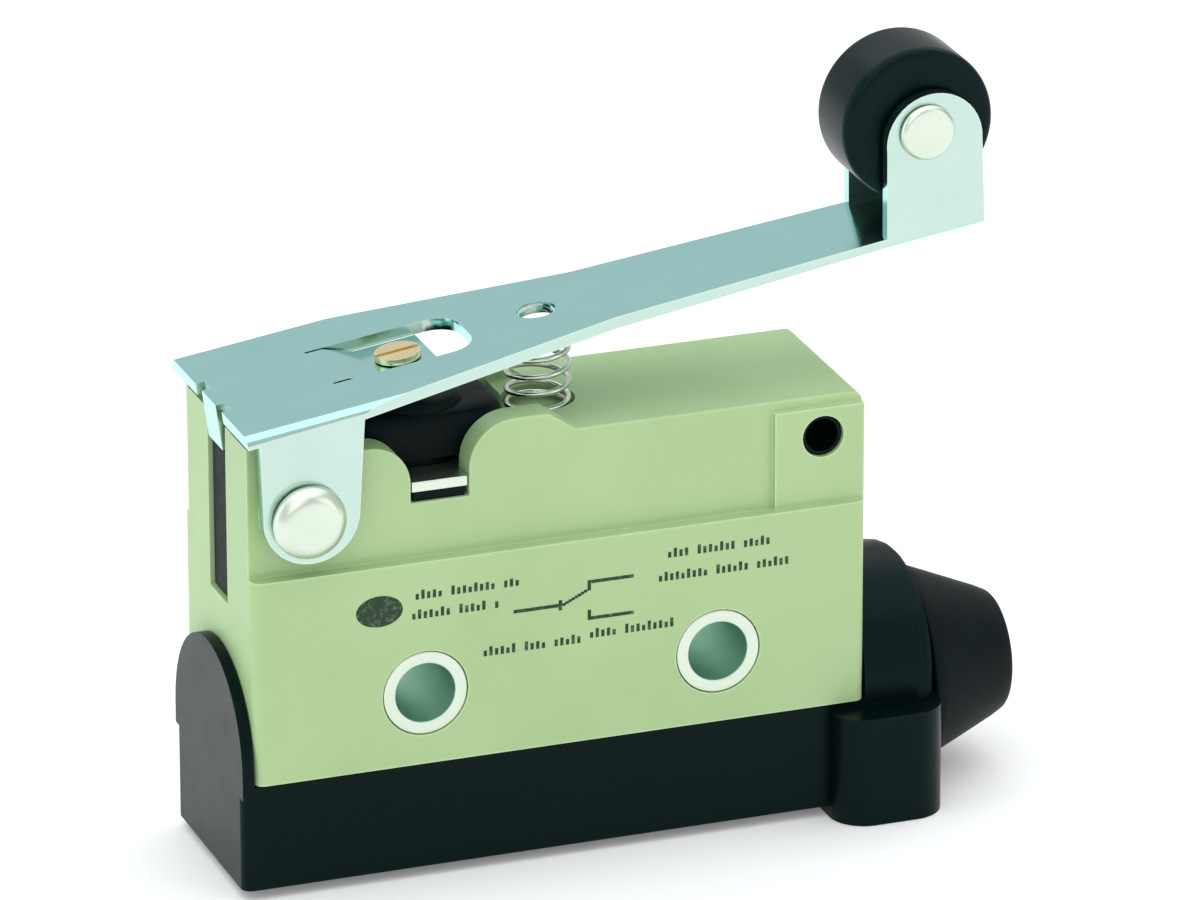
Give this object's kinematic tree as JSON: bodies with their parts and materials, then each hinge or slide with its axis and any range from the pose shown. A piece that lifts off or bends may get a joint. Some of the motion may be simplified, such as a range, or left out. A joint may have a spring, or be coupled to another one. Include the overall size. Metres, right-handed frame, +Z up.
{
  "type": "limit switch",
  "caption": "Enclosed snap-action limit switch with a hinge roller lever, side-face mounting holes, a terminal cover and a cable gland.",
  "frame": {"origin": "on the rear mounting face, midway between the axes of the two mounting holes", "axes": "+X towards the roller and the cable gland, +Y out of the rear mounting face, +Z up from the terminal cover to the lever"},
  "size_m": [0.0691, 0.024, 0.0643],
  "materials": {
    "cream_plastic": "pale yellow-green moulding, satin",
    "black_plastic": "black moulding, satin",
    "black_rubber": "matt black rubber",
    "brown_plastic": "brown thermoset moulding",
    "zinc_plated_steel": "blue-white zinc plating",
    "bright_steel": "bright nickel plating",
    "spring_steel": "drawn spring wire",
    "brass": "plain brass",
    "silver_alloy": "silver contact alloy",
    "roller_black": "black nylon",
    "white_plastic": "off-white acetal"
  },
  "bodies": {
    "switch_body": {"housing": "cream_plastic", "stop_buffer": "black_rubber", "cross_hole_sleeve": "black_plastic", "mounting_bush_left": "bright_steel", "mounting_bush_right": "bright_steel", "boot_retainer": "bright_steel", "rubber_boot": "black_rubber", "return_spring": "spring_steel", "terminal_cover": "black_plastic", "cable_gland": "black_rubber", "pivot_pin": "bright_steel", "terminal_block": "brown_plastic", "terminal_common": "brass", "terminal_normally_open": "brass", "terminal_normally_closed": "brass", "terminal_screw_common": "bright_steel", "terminal_screw_normally_open": "bright_steel", "terminal_screw_normally_closed": "bright_steel", "clamp_washer_common": "bright_steel", "clamp_washer_normally_open": "bright_steel", "clamp_washer_normally_closed": "bright_steel", "fixed_contact_normally_open": "silver_alloy", "fixed_contact_normally_closed": "silver_alloy", "blade_rivet": "brass", "cover_gasket": "black_rubber"},
    "lever_arm": {"lever": "zinc_plated_steel", "roller_pin": "bright_steel", "adjusting_screw": "brass", "adjusting_nut": "brass"},
    "roller_wheel": {"roller": "roller_black"},
    "plunger_rod": {"plunger": "white_plastic"},
    "moving_blade": {"contact_blade": "brass", "moving_contact": "silver_alloy", "snap_spring": "spring_steel"}
  },
  "joints": [
    {"name": "lever_pivot", "type": "hinge", "parent": "switch_body", "child": "lever_arm", "pos_m": [-0.0229, -0.009, 0.0169], "axis": [0, 1, 0], "range_deg": [0, 10], "stiffness_Nm_per_rad": 0.2, "springref_deg": -17.19, "deforming": ["return_spring"]},
    {"name": "roller_spin", "type": "hinge", "parent": "lever_arm", "child": "roller_wheel", "pos_m": [0.03232, -0.009, 0.04142], "axis": [0, 1, 0], "continuous": true},
    {"name": "plunger_slide", "type": "slide", "parent": "switch_body", "child": "plunger_rod", "axis": [0, 0, 1], "range_m": [-0.0022, 0], "deforming": ["rubber_boot"]},
    {"name": "blade_snap", "type": "hinge", "parent": "switch_body", "child": "moving_blade", "pos_m": [-0.0166, -0.009, 0.00865], "axis": [0, 1, 0], "range_deg": [0, 1.85]}
  ],
  "couplings": [
    {"joint": "plunger_slide", "follows": "lever_pivot", "m_per_rad": -0.012},
    {"joint": "blade_snap", "follows": "lever_pivot", "ratio": 0.18}
  ]
}
